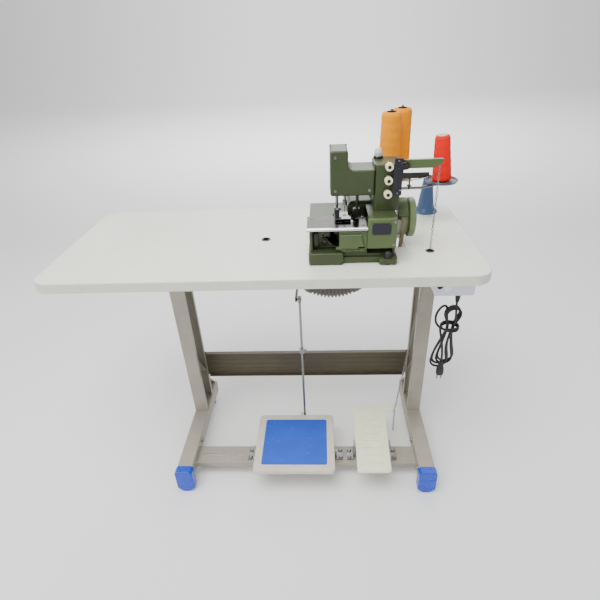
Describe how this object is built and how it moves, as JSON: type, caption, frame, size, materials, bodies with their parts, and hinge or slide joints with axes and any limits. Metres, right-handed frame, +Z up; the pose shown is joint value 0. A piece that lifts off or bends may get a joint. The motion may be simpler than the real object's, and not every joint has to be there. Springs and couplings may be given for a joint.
{
  "type": "overlock sewing machine on table",
  "caption": "Industrial overlock head on a laminated table with steel stand, treadle, presser lift pedal, chain, under-table motor, switch box and thread cones.",
  "frame": {"origin": "on the floor, under the centre of the whole machine without its mains cord", "axes": "+X to the operator's right along the table, +Y away from the operator, +Z up"},
  "size_m": [1.2, 0.595, 1.099],
  "materials": {
    "laminate": "matte laminate",
    "edge": "satin",
    "stand_paint": "satin paint",
    "beam_paint": "satin paint",
    "blue_plastic": "gloss",
    "cream_paint": "satin paint",
    "pan_paint": "satin paint",
    "blue_mat": "ribbed matte",
    "steel": "bright",
    "chrome": "polished",
    "dark_steel": "blued",
    "motor_paint": "satin paint",
    "belt_rubber": "matte",
    "grey_plastic": "satin",
    "white_plastic": "gloss",
    "black_plastic": "satin",
    "cord_rubber": "matte",
    "green_casting": "hammered enamel",
    "green_sheet": "enamel",
    "green_wheel": "enamel",
    "black_rubber": "matte",
    "plate_steel": "polished",
    "navy_plate": "satin paint",
    "cream_plastic": "gloss",
    "sight_plastic": "translucent",
    "tray_plastic": "satin",
    "orange_thread": "wound thread",
    "red_thread": "wound thread",
    "blue_thread": "matte",
    "aluminium_paint": "painted"
  },
  "bodies": {
    "stand": {"table_board": "laminate", "edge_band": "edge", "table_grommets": "black_plastic", "leg_columns": "stand_paint", "foot_beams": "stand_paint", "frame_struts": "stand_paint", "foot_caps": "blue_plastic", "crossbeam": "beam_paint", "treadle_bar": "stand_paint", "stand_bolts": "steel", "pedal_brackets": "steel", "motor_bracket": "motor_paint", "motor_housing": "aluminium_paint", "drive_belt": "belt_rubber", "switch_box": "grey_plastic", "cord_gland": "black_plastic", "power_cord": "cord_rubber", "cord_hank": "cord_rubber", "plug": "black_plastic", "head_base": "green_casting", "head_feet": "black_rubber", "bed_casting": "green_casting", "cloth_plate": "plate_steel", "needle_plate": "chrome", "head_covers": "green_sheet", "name_plate": "navy_plate", "arm_housing": "green_casting", "column_casting": "green_casting", "oil_dome": "sight_plastic", "tension_posts": "chrome", "thread_guide_plate": "navy_plate", "lever_bracket": "dark_steel", "spool_stand": "steel", "spool_discs": "tray_plastic", "cones_orange": "orange_thread", "cone_red": "red_thread", "cone_blue": "blue_thread"},
    "treadle": {"treadle_pan": "pan_paint", "treadle_mat": "blue_mat"},
    "pitman": {"pitman_rod": "steel"},
    "motor_lever": {"speed_lever": "dark_steel"},
    "lift_pedal_body": {"lift_pedal": "cream_paint"},
    "chain": {"lift_chain": "steel"},
    "lifter": {"lift_lever": "green_sheet"},
    "presser": {"presser_foot": "chrome"},
    "main_drive": {"handwheel": "green_wheel", "main_shaft": "steel"},
    "motor_rotor": {"motor_pulley": "steel"},
    "needle": {"needle_bar": "chrome"},
    "knife": {"upper_knife": "dark_steel"},
    "feed": {"feed_dog": "steel"},
    "looper_low": {"lower_looper": "steel"},
    "looper_high": {"upper_looper": "steel"},
    "door": {"looper_door": "green_sheet"},
    "knob_1": {"tension_knob_1": "cream_plastic"},
    "knob_2": {"tension_knob_2": "cream_plastic"},
    "knob_3": {"tension_knob_3": "cream_plastic"},
    "stitch": {"stitch_knob": "dark_steel"},
    "start": {"start_button": "white_plastic"},
    "stop": {"stop_button": "black_plastic"}
  },
  "joints": [
    {"name": "treadle_tilt", "type": "hinge", "parent": "stand", "child": "treadle", "pos_m": [0.0675, -0.195, 0.08], "axis": [-1, 0, 0], "range_deg": [-4, 8]},
    {"name": "pitman_pivot", "type": "hinge", "parent": "treadle", "child": "pitman", "pos_m": [0.096, -0.044, 0.084], "axis": [-1, 0, 0], "range_deg": [-8.5, 4.5]},
    {"name": "speed_lever_pivot", "type": "hinge", "parent": "stand", "child": "motor_lever", "pos_m": [0.085, 0.08, 0.56], "axis": [1, 0, 0], "range_deg": [-6.99, 13.35]},
    {"name": "lift_pedal_tilt", "type": "hinge", "parent": "stand", "child": "lift_pedal_body", "pos_m": [0.323, -0.195, 0.108], "axis": [-1, 0, 0], "range_deg": [0, 8]},
    {"name": "chain_pull", "type": "slide", "parent": "stand", "child": "chain", "axis": [0, 0, -1], "range_m": [0, 0.01829]},
    {"name": "lift_lever_tilt", "type": "hinge", "parent": "stand", "child": "lifter", "pos_m": [0.383, -0.086, 0.997], "axis": [0, 1, 0], "range_deg": [0, 12.47]},
    {"name": "presser_lift", "type": "slide", "parent": "stand", "child": "presser", "axis": [0, 0, 1], "range_m": [0, 0.0062]},
    {"name": "handwheel_turn", "type": "hinge", "parent": "stand", "child": "main_drive", "pos_m": [0.4, -0.025, 0.837], "axis": [1, 0, 0], "continuous": true},
    {"name": "motor_turn", "type": "hinge", "parent": "stand", "child": "motor_rotor", "pos_m": [0.35, 0.06, 0.63], "axis": [1, 0, 0], "continuous": true},
    {"name": "needle_stroke", "type": "slide", "parent": "stand", "child": "needle", "axis": [0, 0, -1], "range_m": [0, 0.02]},
    {"name": "knife_stroke", "type": "slide", "parent": "stand", "child": "knife", "axis": [0, 0, -1], "range_m": [0, 0.007]},
    {"name": "feed_stroke", "type": "slide", "parent": "stand", "child": "feed", "axis": [0, 1, 0], "range_m": [-0.0025, 0.0025]},
    {"name": "lower_looper_swing", "type": "hinge", "parent": "stand", "child": "looper_low", "pos_m": [0.188, -0.071, 0.814], "axis": [0, 1, 0], "range_deg": [-6, 6]},
    {"name": "upper_looper_swing", "type": "hinge", "parent": "stand", "child": "looper_high", "pos_m": [0.271, -0.093, 0.814], "axis": [0, 1, 0], "range_deg": [-6, 6]},
    {"name": "looper_door_swing", "type": "hinge", "parent": "stand", "child": "door", "pos_m": [0.25, -0.154, 0.799], "axis": [1, 0, 0], "range_deg": [0, 80]},
    {"name": "tension_turn_1", "type": "hinge", "parent": "stand", "child": "knob_1", "pos_m": [0.3386, -0.114, 1.001], "axis": [0, 1, 0], "range_deg": [-360, 360]},
    {"name": "tension_turn_2", "type": "hinge", "parent": "stand", "child": "knob_2", "pos_m": [0.3386, -0.114, 0.967], "axis": [0, 1, 0], "range_deg": [-360, 360]},
    {"name": "tension_turn_3", "type": "hinge", "parent": "stand", "child": "knob_3", "pos_m": [0.3386, -0.114, 0.932], "axis": [0, 1, 0], "range_deg": [-360, 360]},
    {"name": "stitch_knob_turn", "type": "hinge", "parent": "stand", "child": "stitch", "pos_m": [0.183, -0.134, 0.84], "axis": [0, 1, 0], "range_deg": [-90, 90]},
    {"name": "start_press", "type": "slide", "parent": "stand", "child": "start", "axis": [0, 1, 0], "range_m": [0, 0.003], "stiffness_N_per_m": 900, "springref_m": -0.0006},
    {"name": "stop_press", "type": "slide", "parent": "stand", "child": "stop", "axis": [0, 1, 0], "range_m": [0, 0.003], "stiffness_N_per_m": 900, "springref_m": -0.0006}
  ],
  "couplings": [
    {"joint": "pitman_pivot", "follows": "treadle_tilt", "ratio": -1},
    {"joint": "speed_lever_pivot", "follows": "treadle_tilt", "ratio": 1.5895},
    {"joint": "chain_pull", "follows": "lift_pedal_tilt", "m_per_rad": 0.12841},
    {"joint": "lift_lever_tilt", "follows": "lift_pedal_tilt", "ratio": 1.5286},
    {"joint": "presser_lift", "follows": "lift_pedal_tilt", "m_per_rad": 0.04297},
    {"joint": "motor_turn", "follows": "handwheel_turn", "ratio": 1.4667}
  ]
}
